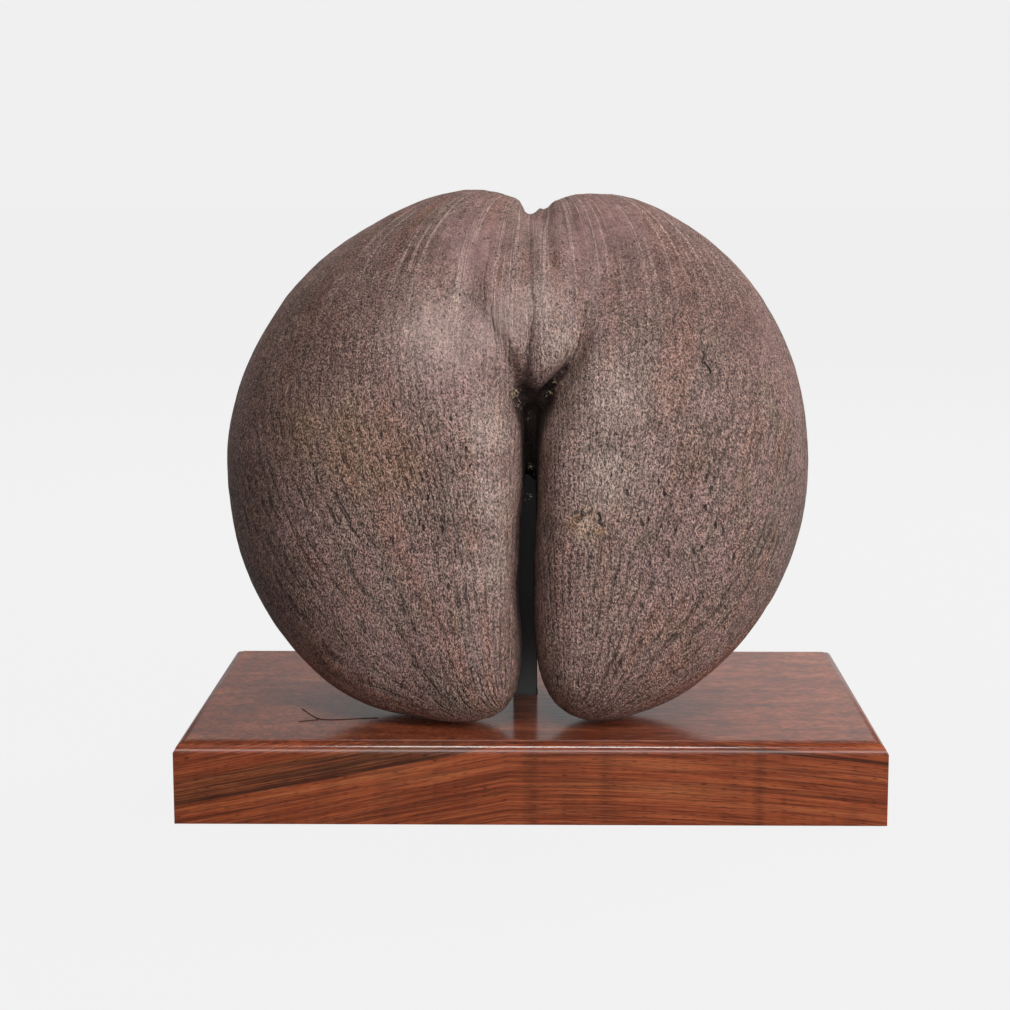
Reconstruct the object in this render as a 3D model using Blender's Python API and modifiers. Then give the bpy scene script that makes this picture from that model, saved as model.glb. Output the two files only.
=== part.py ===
"""A coco de mer nut standing on a moulded wooden plinth, held by a square steel post."""

from math import cos, pi, radians, sin

import bmesh
import bpy
import numpy as np
from mathutils import Matrix, Vector

# All lengths are in metres. +X is the viewer's right, -Y faces the viewer and +Z is up.
# The origin is the centre of the plinth's underside.
MM = 0.001
GAP = 0.3 * MM

# Plinth: a board with an ovolo moulding round its top
PLINTH_WIDTH = 330 * MM
PLINTH_DEPTH = 200 * MM
PLINTH_HEIGHT = 39 * MM
LEDGE = 0.7 * MM
OVOLO_RADIUS = 4.6 * MM
OVOLO_STEPS = 6
QUIRK = 0.5 * MM
ARRIS = 0.5 * MM

# Post: a square bar, its foot let into the plinth and its head into the nut
POST_SIDE = 12 * MM
POST_CENTRE = Vector((-3 * MM, 0, 0))
POST_CHAMFER = 0.6 * MM
POST_TOP = 228 * MM
MORTISE_DEPTH = 14 * MM
POCKET_CLEARANCE = 0.4 * MM

# Screw and washer, in a counterbore under the plinth
SHANK_RADIUS = 3.0 * MM
SHANK_CHAMFER = 0.5 * MM
BORE_RADIUS = SHANK_RADIUS + GAP
SHANK_IN_POST = 16 * MM
HEAD_RADIUS = 5.2 * MM
HEAD_HEIGHT = 4.2 * MM
HEAD_CHAMFER = 0.5 * MM
SOCKET_RADIUS = 2.6 * MM
SOCKET_SIDES = 6
SOCKET_DEPTH = 2.4 * MM
WASHER_RADIUS = 9.0 * MM
WASHER_THICKNESS = 1.6 * MM
COUNTERBORE_RADIUS = 11.0 * MM
COUNTERBORE_DEPTH = 11.0 * MM
ROUND_SIDES = 48
SMOOTHED_UNDER = radians(35)

# Nut: each lobe is an outline seen from the front, as (x, z) in millimetres, swollen to
# the front and to the back of it. The two overlap above the crotch and part below it.
LEFT_CENTRE = (-60, 150)
LEFT_OUTLINE = (
    (-27, 290.8), (-10, 287), (2, 279), (3, 262), (2, 240), (0, 218), (-2.2, 203),
    (-3, 194), (-2.6, 182), (-2.6, 155), (-4.4, 120), (-5.2, 92), (-4.0, 68), (-5.2, 57),
    (-11, 47), (-25, 40.5), (-48, 39.5), (-74, 43), (-97, 53), (-118.5, 71), (-140, 102),
    (-150, 140), (-150.3, 167), (-139.5, 207), (-113, 247), (-75, 275.5), (-50, 286.5),
)
RIGHT_CENTRE = (52, 146)
RIGHT_OUTLINE = (
    (35, 288.8), (16, 287), (4, 279.5), (2.5, 262), (3, 240), (4.2, 218), (5.4, 203),
    (5.2, 194), (4, 183), (3.6, 172), (3.1, 152), (1.8, 122), (1.4, 98), (2.8, 74), (5, 60),
    (10.5, 50), (20.5, 42.5), (34, 39.5), (57, 43), (81, 54), (104, 73), (125, 103),
    (136, 140), (136.5, 167), (129, 207), (106.5, 247), (74, 275), (49.5, 286.6),
)
FRONT_SQUARENESS = 2.35
BACK_SQUARENESS = 2.5
FRONT_SWELL = 82 * MM
BACK_SWELL = 84 * MM
FOOT_LEAN = 50 * MM
LEAN_POWER = 2.6
FOOT_TAPER = 0.15
LEAN_START = 185 * MM
LEAN_END = 39 * MM
INNER_LEAN = 46 * MM
CROTCH_LOW = 170 * MM
CROTCH_HIGH = 245 * MM
VALLEY = 0.3
# What joins the lobes: ellipsoids with a middle and half sizes in millimetres, the last of
# them below the middle, and how square the lower end is. They are the bridge, the septum
# that shows in the top notch and the ridge deep in the cleft.
FILLERS = (
    ((4, -13, 222), (56, 55, 57, 35), 3.2),
    ((4.5, -3, 260), (4.4, 27, 25, 25), 2.0),
    ((2, 0, 184), (7, 34, 38, 38), 2.0),
)
# Grooves down the front of the bridge, which leave a tongue in two strips between them:
# points from the top down as (x, z), the depth reached at the lower end, and the width.
GROOVES = (
    (((-18, 250), (-16.5, 230), (-12.5, 217), (-6.5, 206), (-3.5, 198)), 5.0, 3.5),
    (((1.5, 272), (0, 250), (-1, 220), (-2.5, 200)), 3.0, 2.2),
    (((27, 250), (25.5, 228), (21, 213), (14, 205), (7, 197)), 8.0, 4.0),
)
GROOVE_FRONT = -25 * MM
# How far below its lower end a groove fades out, in widths of the groove
GROOVE_FADE = 4
# Segments and rings of the spheres that the lobes and the fillers are shaped from
LOBE_MESH = (96, 64)
FILLER_MESH = (64, 48)
# How the body is melted together, softened and thinned to few faces
VOXEL = 2.2 * MM
SOFTENING = 8
FACES_KEPT = 0.087


def clear_scene():
    for obj in list(bpy.data.objects):
        bpy.data.objects.remove(obj, do_unlink=True)


def collection(name):
    made = bpy.data.collections.new(name)
    bpy.context.scene.collection.children.link(made)
    return made


def material(name, colour, roughness, metallic=0.0):
    made = bpy.data.materials.new(name)
    made.use_nodes = True
    shader = made.node_tree.nodes["Principled BSDF"]
    shader.inputs["Base Color"].default_value = (*colour, 1.0)
    shader.inputs["Roughness"].default_value = roughness
    shader.inputs["Metallic"].default_value = metallic
    return made


def add_object(name, mesh, home, finish=None):
    obj = bpy.data.objects.new(name, mesh)
    home.objects.link(obj)
    if finish:
        mesh.materials.append(finish)
    return obj


def mesh_from(bm, name):
    mesh = bpy.data.meshes.new(name)
    bm.to_mesh(mesh)
    bm.free()
    return mesh


def add_box(name, low, high, home, finish=None):
    """A box between two corners."""
    low, high = Vector(low), Vector(high)
    bm = bmesh.new()
    bmesh.ops.create_cube(bm, size=1.0)
    bmesh.ops.scale(bm, vec=high - low, verts=bm.verts)
    bmesh.ops.translate(bm, vec=(low + high) / 2, verts=bm.verts)
    return add_object(name, mesh_from(bm, name), home, finish)


def add_post_box(name, side, bottom, top, home, finish=None):
    """A square prism on the post's axis."""
    half = Vector((side / 2, side / 2, 0))
    low = POST_CENTRE - half + Vector((0, 0, bottom))
    high = POST_CENTRE + half + Vector((0, 0, top))
    return add_box(name, low, high, home, finish)


def add_cylinder(name, radius, bottom, top, home, sides=ROUND_SIDES):
    """An upright cylinder on the post's axis."""
    bm = bmesh.new()
    bmesh.ops.create_cone(
        bm, cap_ends=True, segments=sides, radius1=radius, radius2=radius, depth=top - bottom
    )
    middle = POST_CENTRE + Vector((0, 0, (bottom + top) / 2))
    bmesh.ops.translate(bm, vec=middle, verts=bm.verts)
    return add_object(name, mesh_from(bm, name), home)


def add_turned(name, profile, home, finish, ring=False):
    """A profile of (radius, height) pairs turned about the post's axis."""
    bm = bmesh.new()
    verts = [bm.verts.new((radius, 0, height)) for radius, height in profile]
    pairs = list(zip(verts, verts[1:]))
    if ring:
        pairs.append((verts[-1], verts[0]))
    for pair in pairs:
        bm.edges.new(pair)
    obj = add_object(name, mesh_from(bm, name), home, finish)
    obj.location = POST_CENTRE
    turn = obj.modifiers.new("Turn", "SCREW")
    turn.steps = turn.render_steps = ROUND_SIDES
    turn.use_merge_vertices = True
    turn.merge_threshold = 0.01 * MM
    return obj


def cut(obj, cutter):
    """Cuts an object with a helper, which the render leaves out."""
    cutter.hide_render = True
    cutter.display_type = "WIRE"
    modifier = obj.modifiers.new(f"Cut {cutter.name}", "BOOLEAN")
    modifier.operation = "DIFFERENCE"
    modifier.object = cutter


def apply_modifiers(obj):
    """Puts what the modifiers make into the object's own mesh."""
    graph = bpy.context.evaluated_depsgraph_get()
    made = bpy.data.meshes.new_from_object(obj.evaluated_get(graph))
    obj.modifiers.clear()
    obj.data = made


def shade(obj):
    obj.data.shade_smooth()
    obj.data.set_sharp_from_angle(angle=SMOOTHED_UNDER)


def moulding_steps():
    """The moulded edge from the face to the flat top, as (step inwards, step upwards) pairs."""
    yield LEDGE, 0.0
    turns = [pi / 2 * step / OVOLO_STEPS for step in range(OVOLO_STEPS + 1)]
    for turn, following in zip(turns, turns[1:]):
        inwards = OVOLO_RADIUS * (cos(turn) - cos(following))
        upwards = OVOLO_RADIUS * (sin(following) - sin(turn))
        yield inwards, upwards
    yield QUIRK, 0.0
    yield 0.0, QUIRK


def make_plinth(home, cutters, finish):
    shoulder = PLINTH_HEIGHT - OVOLO_RADIUS - QUIRK
    corner = Vector((PLINTH_WIDTH / 2, PLINTH_DEPTH / 2, 0))
    plinth = add_box("plinth", -corner, corner + Vector((0, 0, shoulder)), home, finish)
    bm = bmesh.new()
    bm.from_mesh(plinth.data)
    top = max(bm.faces, key=lambda face: face.calc_center_median().z)
    for inwards, upwards in moulding_steps():
        if inwards:
            bmesh.ops.inset_region(bm, faces=[top], thickness=inwards, depth=upwards)
        else:
            top = bmesh.ops.extrude_discrete_faces(bm, faces=[top])["faces"][0]
            bmesh.ops.translate(bm, vec=(0, 0, upwards), verts=top.verts)
    outer = [
        edge
        for edge in bm.edges
        if all(abs(abs(vert.co.x) - corner.x) < GAP for vert in edge.verts)
        and all(abs(abs(vert.co.y) - corner.y) < GAP for vert in edge.verts)
    ]
    bmesh.ops.bevel(bm, geom=outer, offset=ARRIS, segments=2, profile=0.5, affect="EDGES")
    bm.to_mesh(plinth.data)
    bm.free()
    fit = POST_SIDE + 2 * GAP
    floor = PLINTH_HEIGHT - MORTISE_DEPTH
    beyond = PLINTH_HEIGHT + MORTISE_DEPTH
    cut(plinth, add_post_box("mortise", fit, floor, beyond, cutters))
    below = -COUNTERBORE_DEPTH
    cut(plinth, add_cylinder("counterbore", COUNTERBORE_RADIUS, below, -below, cutters))
    cut(plinth, add_cylinder("plinth_bore", BORE_RADIUS, below, beyond, cutters))


def make_post(home, cutters, finish):
    foot = PLINTH_HEIGHT - MORTISE_DEPTH + GAP
    post = add_post_box("post", POST_SIDE, foot, POST_TOP, home, finish)
    chamfer = post.modifiers.new("Chamfer", "BEVEL")
    chamfer.width = POST_CHAMFER
    chamfer.segments = 2
    depth = SHANK_IN_POST + GAP
    cut(post, add_cylinder("post_bore", BORE_RADIUS, foot - depth, foot + depth, cutters))


def make_fixing(home, cutters, finish):
    """The washer against the roof of the counterbore, and the socket screw below it."""
    washer_top = COUNTERBORE_DEPTH - GAP
    washer_bottom = washer_top - WASHER_THICKNESS
    washer = (
        (WASHER_RADIUS, washer_top),
        (WASHER_RADIUS, washer_bottom),
        (BORE_RADIUS, washer_bottom),
        (BORE_RADIUS, washer_top),
    )
    shade(add_turned("post_washer", washer, home, finish, ring=True))
    head_top = washer_bottom - GAP
    head_bottom = head_top - HEAD_HEIGHT
    tip = PLINTH_HEIGHT - MORTISE_DEPTH + SHANK_IN_POST
    screw = (
        (0, tip),
        (SHANK_RADIUS - SHANK_CHAMFER, tip),
        (SHANK_RADIUS, tip - SHANK_CHAMFER),
        (SHANK_RADIUS, head_top),
        (HEAD_RADIUS, head_top),
        (HEAD_RADIUS, head_bottom + HEAD_CHAMFER),
        (HEAD_RADIUS - HEAD_CHAMFER, head_bottom),
        (0, head_bottom),
    )
    screw = add_turned("post_screw", screw, home, finish)
    low = head_bottom - SOCKET_DEPTH
    high = head_bottom + SOCKET_DEPTH
    cut(screw, add_cylinder("socket", SOCKET_RADIUS, low, high, cutters, SOCKET_SIDES))


def smooth_step(value, start, end):
    """0 before start and 1 past end, with a soft change between them."""
    share = np.clip((value - start) / (end - start), 0, 1)
    return share * share * (3 - 2 * share)


def curve_radius(outline, centre, angles):
    """The distance from centre to a smooth closed curve through the outline, at each angle."""
    offsets = (np.array(outline, float) - np.array(centre, float)) * MM
    turns = np.arctan2(offsets[:, 1], offsets[:, 0])
    order = np.argsort(turns)
    turns = turns[order]
    reach = np.hypot(offsets[:, 0], offsets[:, 1])[order]
    turns = np.concatenate([turns[-2:] - 2 * pi, turns, turns[:2] + 2 * pi])
    reach = np.concatenate([reach[-2:], reach, reach[:2]])
    slope = np.gradient(reach, turns)
    at = np.searchsorted(turns, angles, side="right") - 1
    step = turns[at + 1] - turns[at]
    t = (angles - turns[at]) / step
    return (
        (2 * t**3 - 3 * t**2 + 1) * reach[at]
        + (t**3 - 2 * t**2 + t) * step * slope[at]
        + (3 * t**2 - 2 * t**3) * reach[at + 1]
        + (t**3 - t**2) * step * slope[at + 1]
    )


def add_unit_sphere(bm, segments, rings):
    """Adds a sphere of radius 1 with its poles at the front and back; gives its points too."""
    turn = Matrix.Rotation(pi / 2, 4, "X")
    made = bmesh.ops.create_uvsphere(
        bm, u_segments=segments, v_segments=rings, radius=1.0, matrix=turn
    )
    return made["verts"], np.array([vert.co for vert in made["verts"]])


def move_points(verts, points):
    for vert, point in zip(verts, points):
        vert.co = point


def add_lobe(bm, outline, centre, inner_side):
    """Adds one lobe: its outline from the front, swollen to the front and the back.

    The feet curl forwards, and below the crotch the inner side is drawn forwards, so that
    the lobes almost meet at the front and open out behind. Above it they slope together.
    """
    verts, way = add_unit_sphere(bm, *LOBE_MESH)
    angles = np.arctan2(way[:, 2], way[:, 0])
    squareness = np.where(way[:, 1] < 0, FRONT_SQUARENESS, BACK_SQUARENESS)
    spread = np.hypot(way[:, 0], way[:, 2]) ** (2 / squareness)
    reach = curve_radius(outline, centre, angles) * spread
    x = centre[0] * MM + reach * np.cos(angles)
    z = centre[1] * MM + reach * np.sin(angles)
    swell = np.where(way[:, 1] < 0, FRONT_SWELL, BACK_SWELL)
    inner = np.clip(np.cos(angles) * inner_side, 0, 1) * spread
    above = smooth_step(z, CROTCH_LOW, CROTCH_HIGH)
    foot = np.clip((LEAN_START - z) / (LEAN_START - LEAN_END), 0, None)
    y = way[:, 1] * swell * (1 - VALLEY * inner * above - FOOT_TAPER * foot)
    y -= FOOT_LEAN * foot**LEAN_POWER + INNER_LEAN * inner * spread * (1 - above)
    move_points(verts, np.stack([x, y, z], axis=1))


def add_filler(bm, middle, halves, low_squareness):
    """Adds a body between the lobes, round above and squarer towards its lower end."""
    verts, way = add_unit_sphere(bm, *FILLER_MESH)
    angles = np.arctan2(way[:, 2], way[:, 0])
    lower = np.clip(-np.sin(angles), 0, 1)
    spread = np.hypot(way[:, 0], way[:, 2]) ** (2 / (2 + (low_squareness - 2) * lower))
    half_height = np.where(lower > 0, halves[3], halves[2])
    x = middle[0] + halves[0] * spread * np.cos(angles)
    y = middle[1] + halves[1] * way[:, 1]
    z = middle[2] + half_height * spread * np.sin(angles)
    move_points(verts, np.stack([x, y, z], axis=1) * MM)


def press_grooves(mesh):
    """Sinks the grooves into the front, from nothing at their upper ends."""
    points = np.array([vert.co for vert in mesh.vertices])
    x, y, z = points.T
    front = smooth_step(-y, -GROOVE_FRONT, -2 * GROOVE_FRONT)
    for route, depth, width in GROOVES:
        across, up = np.array(route[::-1], float).T * MM
        offset = (x - np.interp(z, up, across)) / (width * MM)
        along = 1 - smooth_step(z, up[0], up[-1])
        inside = smooth_step(z, up[0] - GROOVE_FADE * width * MM, up[0])
        y = y + depth * MM * along * inside * front * np.exp(-(offset**2))
    move_points(mesh.vertices, np.stack([x, y, z], axis=1))


def make_nut(home, cutters, finish):
    """The lobes and what joins them, melted into one body by a voxel remesh."""
    bm = bmesh.new()
    add_lobe(bm, LEFT_OUTLINE, LEFT_CENTRE, 1)
    add_lobe(bm, RIGHT_OUTLINE, RIGHT_CENTRE, -1)
    for middle, halves, low_squareness in FILLERS:
        add_filler(bm, middle, halves, low_squareness)
    nut = add_object("nut", mesh_from(bm, "nut"), home)
    remesh = nut.modifiers.new("Remesh", "REMESH")
    remesh.mode = "VOXEL"
    remesh.voxel_size = VOXEL
    blend = nut.modifiers.new("Blend", "SMOOTH")
    blend.factor = 0.5
    blend.iterations = SOFTENING
    apply_modifiers(nut)
    press_grooves(nut.data)
    thin = nut.modifiers.new("Thin", "DECIMATE")
    thin.ratio = FACES_KEPT
    fit = POST_SIDE + 2 * POCKET_CLEARANCE
    cut(nut, add_post_box("pocket", fit, 0, POST_TOP + POCKET_CLEARANCE, cutters))
    nut.data.materials.append(finish)
    nut.data.shade_smooth()


def main():
    clear_scene()
    home = collection("coco_de_mer")
    cutters = collection("cutters")
    cutters.hide_render = True
    wood = material("lacquered rosewood", (0.22, 0.07, 0.035), 0.3)
    shell = material("dry nutshell", (0.20, 0.15, 0.13), 0.6)
    black = material("black painted steel", (0.02, 0.02, 0.02), 0.4)
    steel = material("zinc plated steel", (0.55, 0.55, 0.55), 0.35, 1.0)
    make_plinth(home, cutters, wood)
    make_post(home, cutters, black)
    make_fixing(home, cutters, steel)
    make_nut(home, cutters, shell)


main()
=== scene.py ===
"""The looks of a coco de mer nut on its stand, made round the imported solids."""

import random
from functools import partial
from math import radians

import bmesh
import bpy
import numpy as np
from mathutils import Euler, Matrix, Vector, noise


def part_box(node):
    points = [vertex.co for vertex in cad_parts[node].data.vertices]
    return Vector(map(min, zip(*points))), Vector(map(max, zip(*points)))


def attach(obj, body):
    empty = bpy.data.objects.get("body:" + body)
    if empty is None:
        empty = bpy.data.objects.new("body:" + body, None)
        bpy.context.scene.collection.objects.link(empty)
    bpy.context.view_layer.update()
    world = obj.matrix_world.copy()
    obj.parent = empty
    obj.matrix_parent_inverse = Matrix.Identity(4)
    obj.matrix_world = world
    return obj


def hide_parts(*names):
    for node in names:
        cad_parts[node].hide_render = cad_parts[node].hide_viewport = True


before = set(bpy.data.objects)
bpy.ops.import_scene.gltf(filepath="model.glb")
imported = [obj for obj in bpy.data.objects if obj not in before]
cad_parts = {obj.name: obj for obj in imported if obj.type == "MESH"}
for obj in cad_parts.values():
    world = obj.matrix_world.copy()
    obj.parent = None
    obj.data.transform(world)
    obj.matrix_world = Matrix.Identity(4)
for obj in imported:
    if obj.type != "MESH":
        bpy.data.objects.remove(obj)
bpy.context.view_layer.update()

# Lengths are in metres, in the frame of the solids: +X right, -Y to the viewer, +Z up.
MM = 0.001

# Plinth moulding, as on the solid but with a finer round: a ledge, a quarter round that
# stands on a hair of upright, and a step in and up at its top
LEDGE = 0.7 * MM
OVOLO_RADIUS = 4.6 * MM
OVOLO_SEGMENTS = 12
OVOLO_FOOT = 0.02 * MM
QUIRK = 0.5 * MM
EDGE_ROUND = 0.10 * MM
# The post's mortise, the holes for its screw, and how far a cutter stands out of the board
POST_X = -3 * MM
MORTISE_DEPTH = 14 * MM
MORTISE_SIDE = 12.6 * MM
COUNTERBORE_RADIUS = 11 * MM
COUNTERBORE_DEPTH = 11 * MM
BORE_RADIUS = 3.3 * MM
CUTTER_PAST = 10 * MM
# How steeply the board's grain climbs in its left part, where that part ends, and how
# strongly the grain bends down in the right half
GRAIN_CLIMB = 0.19
GRAIN_LEVEL_FROM = -10 * MM
GRAIN_DIP = 0.4
# Dark streaks along the grain of the front: height where the grain is level, thickness to
# each side, left and right end, all in millimetres, then the strength and the colour
WOOD_STREAKS = (
    (44.0, 7.5, -190, -10, 0.72, "#5B3A24"),
    (39.2, 2.1, -190, -12, 0.92, "#2A1812"),
    (42.2, 0.8, -190, -30, 0.75, "#2A1812"),
    (44.4, 0.6, -190, -50, 0.65, "#2A1812"),
    (46.4, 0.6, -190, -60, 0.60, "#2A1812"),
    (48.8, 0.5, -190, -80, 0.55, "#2A1812"),
    (30.5, 1.2, -190, 0, 0.40, "#4E2315"),
    (24.0, 1.6, -150, 30, 0.40, "#4E2315"),
    (16.5, 3.0, -110, 20, 0.45, "#4E2315"),
    (8.0, 2.5, -60, 60, 0.35, "#4E2315"),
    (40.2, 1.3, 70, 200, 0.85, "#38180E"),
    (22.0, 2.0, 60, 200, 0.30, "#4E2315"),
)
# Dark curls across the grain of the front: middle, half width and strength
WOOD_CURLS = ((0.5, 5.0, 0.55), (35.0, 4.0, 0.30), (106.0, 3.5, 0.60), (-42.0, 6.0, 0.15))
# How far a streak fades in from its left end and out to its right end, and the y at which
# streaks and curls begin and are full, in millimetres: the board's front is at -100
STREAK_FADES = (14, 30)
STREAK_FRONT = (-92, -98)
CURL_FRONT = (-88, -98)
# Painted shade in the step above the moulding: the heights in millimetres at which it
# begins, is full, is still full and ends
STEP_SHADE = (37.5, 38.4, 38.9, 38.97)

# The nut's mesh, and the zones where it is finer for its relief: tongue, crack and scar, each
# with its low and high corner as (x, z), the y that it ends at, in millimetres, and its cuts
SHELL_VOXEL = 2.2 * MM
SHELL_SMOOTHING = 7
FINE_ZONES = (
    ((-26, 188), (34, 262), -35, 3),
    ((75.5, 204), (87.5, 220), -40, 4),
    ((13.5, 124), (41.5, 152), -40, 3),
)
# The streaks run like meridians from a pole in the top notch to one in each foot. Their
# coordinates are those of a ball of this radius.
SEAM_X = 1.0 * MM
SEAM_WIDTH = 3.0 * MM
LEFT_POLES = ((-0.004, 0.012, 0.273), (-0.011, -0.074, 0.044))
RIGHT_POLES = ((0.010, 0.022, 0.270), (0.016, -0.074, 0.044))
FLOW_RADIUS = 0.1
# How many rows of dashes run round a lobe at its waist, and near its ends, and how far noise
# makes them wander, in radians of a row
ROWS = (150, 62)
ROW_WANDER = 6
# The lean of the grain, the scales that draw it out lengthwise, and those that do so again
# for the pits
GRAIN_LEAN = radians(-21)
GRAIN_DRAWN_OUT = (1, 1, 0.62)
PITS_DRAWN_OUT = (1, 1, 0.55)
# Soft lumps and fine ridges of the shell: height and size in millimetres, and a seed
LUMPS = ((0.40, 30, 0.0), (0.20, 11, 3.0), (0.10, 4.2, 7.0))
FINE_RIDGES = (0.08, 4.2, 13.0)
# Its broad ridges: size and seed, the height at the waist, and what is added to it up to the
# notch and down to the feet, over these angles from the notch
BROAD_RIDGES = (10, 11.0)
BROAD_HEIGHTS = (0.06, 0.28, 0.26)
NOTCH_END = (0.35, 1.2)
FEET_START = (2.0, 2.7)
# All ridges run along the streaks, so their noise is drawn out that way.
RIDGES_DRAWN_OUT = (1, 1, 0.08)
# Routes are drawn on the front of the nut, and have no effect behind this y.
ROUTES_END = -30 * MM
# Grooves beside and down the tongue, swells beside it, whose depth is below 0, and fine
# creases: points as (x, z) from the full end to the one where it fades out, depth and width in
# millimetres, and how much painted shade darkens it. Each fades over this share of its length.
GROOVE_FADE = (0.3, 1.0)
TONGUE_GROOVES = (
    (((-3.5, 196), (-5.5, 203), (-9.5, 211), (-13.5, 219)), 0.5, 2.0, 0.5),
    (((-20, 252), (-18, 238), (-15, 222), (-9.5, 208)), -3.0, 6.5, 0.0),
    (((25, 250), (24.5, 238), (23, 226)), -1.8, 5.5, 0.0),
    (((-2.5, 198), (-1.8, 206), (-1.0, 216), (-0.6, 226), (-0.2, 238)), 1.1, 1.8, 0.6),
    (((7, 197), (11, 201.5), (16, 207.5), (20, 213), (22, 218)), 2.7, 1.6, 1.0),
    (((-16.5, 226), (-17.6, 233), (-17.8, 243)), 0.5, 0.5, 0.8),
    (((-1.0, 216), (0.6, 226), (1.6, 234), (1.0, 246), (1.0, 262)), 0.4, 0.5, 0.7),
    (((20, 213), (22.4, 219), (23.6, 226), (24.4, 233), (24.2, 242)), 0.5, 0.5, 0.9),
)
# Two dips leave a ridge between them in the top notch, and run on as soft creases down to the
# tongue: heights, the dip's x at each, half width and depth at the top, all in millimetres
NOTCH_DIPS = (
    ((236, 276), (-0.2, -0.4), 3.4, 3.2),
    ((226, 238, 250, 264, 276), (24.0, 20.5, 14.0, 9.0, 6.2), 3.0, 2.9),
)
# How the dips deepen upwards: a share of the depth, and the heights between which it comes
DIP_RISES = ((0.15, 225, 235), (0.85, 244, 268))
# A jagged crack on the right shoulder, and the nick in the scar, as (x, z), with their widths
# and the depth of both, in millimetres
CRACK = ((80.1, 216.8), (80.9, 215.9), (80.5, 213.8), (79.6, 211.9), (81.2, 211.2),
         (82.8, 209.4), (83.8, 206.8))
NICK = ((31.8, 143.2), (32.6, 141.0), (32.2, 138.8), (33.4, 137.6))
CRACK_WIDTH = 0.5
NICK_WIDTH = 0.8
CRACK_DEPTH = 0.9
# The scar of a knock on the right lobe: its middle as (x, z), its radius, its hollow's depth,
# and its rim's radius, width and height, in millimetres; it is a little taller than wide
SCAR = (25.8, 137.5)
SCAR_RADIUS = 7.0
SCAR_DEPTH = 0.35
SCAR_RIM = (5.25, 2.4, 0.34)
SCAR_SQUASH = 0.8
# How many ridges its rim has, and how far noise makes them wander, in radians of a ridge
SCAR_RIDGES = 11
SCAR_WANDER = 4
# Round the pocket for the post's head the shell has no relief: how far, and at which heights
POCKET_REACH = 8 * MM
POCKET_HEIGHTS = (140 * MM, 250 * MM)
# Painted shade in the cleft: its reach to each side of the seam, the depths between which it
# begins and where it ends, and the heights between which it fades out
CLEFT_REACH = 16 * MM
CLEFT_FRONT = (-63 * MM, -55 * MM)
CLEFT_BACK = 30 * MM
CLEFT_TOP = (196 * MM, 206 * MM)

# A strand of husk: how many steps it takes and how far each goes, how sharply it turns, and
# its radius, in millimetres
HUSK_STEPS = 6
HUSK_STEP = (0.15, 0.40)
HUSK_TURN = 1.3
HUSK_RADIUS = (0.07, 0.12)
# Curls of husk in the cleft: the middle and spread in millimetres, and how many strands
HUSK_TUFTS = (
    ((-8.0, -59.8, 196.6), 2.8, 60),
    ((-5.4, -55.0, 191.0), 2.4, 12),
    ((12.6, -60.4, 201.5), 2.4, 12),
    ((9.6, -59.4, 196.5), 2.2, 10),
    ((0.8, -42.0, 160.0), 3.0, 14),
    ((-1.0, -45.0, 146.0), 3.0, 8),
    ((1.0, -42.0, 184.0), 3.4, 10),
)
# The fibre on the plinth, seen from above, as (x, y) in millimetres
STRAY_FIBRE = (
    ((-112.1, -36.6), (-107.0, -47.5), (-102.1, -57.2), (-96.4, -58.3), (-88.1, -57.1),
     (-80.1, -55.1), (-73.4, -54.0)),
    ((-111.0, -61.5), (-105.2, -59.6), (-101.6, -57.6)),
)
STRAY_RADIUS = 0.17

# Soft spots of the shell's colour and wear, and of painted light and shade, each as
# (middle, radius) in millimetres
SPOTS = {
    # a pink tone, also lightened as painted light, mostly on the upper left lobe
    "rosy": (
        ((30, -40, 268), 32), ((-25, -45, 262), 24), ((-47, -68, 226), 20),
        ((-35, -70, 215), 28), ((-14, -66, 232), 18), ((110, -40, 225), 18),
    ),
    "ochre": (
        ((-83, -78, 177), 24), ((-107, -69, 180), 20), ((-99, -53, 228), 14),
        ((-60, -80, 165), 16),
    ),
    # painted shade with a darker brown: down the left side, in a band on the upper left lobe, at
    # the top right and low on the right lobe
    "dusky": (
        ((-77, -66, 214), 16), ((-67, -60, 236), 16), ((-55, -46, 260), 15),
        ((-98, -56, 228), 32), ((-128, -48, 192), 24), ((-137, -46, 150), 28),
        ((-120, -50, 100), 28), ((72, -48, 250), 34), ((98, -45, 232), 26), ((38, -76, 55), 26),
    ),
    # worn smooth, and lightened as a painted highlight on the inner edges of the lobes and on the
    # tongue
    "rubbed": (
        ((-18, -77, 181), 15), ((-18, -80, 150), 17), ((-17, -80, 120), 14), ((32, -78, 195), 24),
        ((39, -81, 163), 20), ((-46, -69, 225), 20), ((14, -66, 220), 13), ((-13, -66, 228), 13),
        ((4, -64, 238), 13),
    ),
    "scabbed": (((19.7, -83.5, 138.2), 2.4), ((32.6, -83, 134.6), 2.2), ((22, -84, 141.8), 1.8)),
    "sooty": (
        ((21.4, -84, 144.0), 1.5), ((24.4, -84, 142.6), 1.3), ((27.8, -84, 144.2), 1.3),
        ((19.0, -84, 135.4), 0.9), ((32.0, -83, 139.4), 1.0), ((27.0, -84, 122.9), 0.8),
    ),
    "pitted": (
        ((-45, -80, 125), 32), ((-50, -80, 170), 30), ((60, -78, 160), 30),
        ((80, -75, 125), 28), ((60, 75, 150), 40), ((-60, 75, 130), 40),
    ),
}

# The floor's side, and how far it lies below the board, so that the two share no face
FLOOR_SIDE = 40
FLOOR_DROP = 0.5 * MM
# How bright the surroundings are to the pieces, as a product: from the left to the right, from
# the front to the back, and from high above down to the level of the eye. Each has the two
# directions between which it changes, and what it changes from and to.
GLOW = {
    "X": (-0.15, 0.15, 0.75, 1.30),
    "Y": (-0.2, 0.8, 0.0, 0.5),
    "Z": (0.55, 0.22, 0.1, 1),
}
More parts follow.
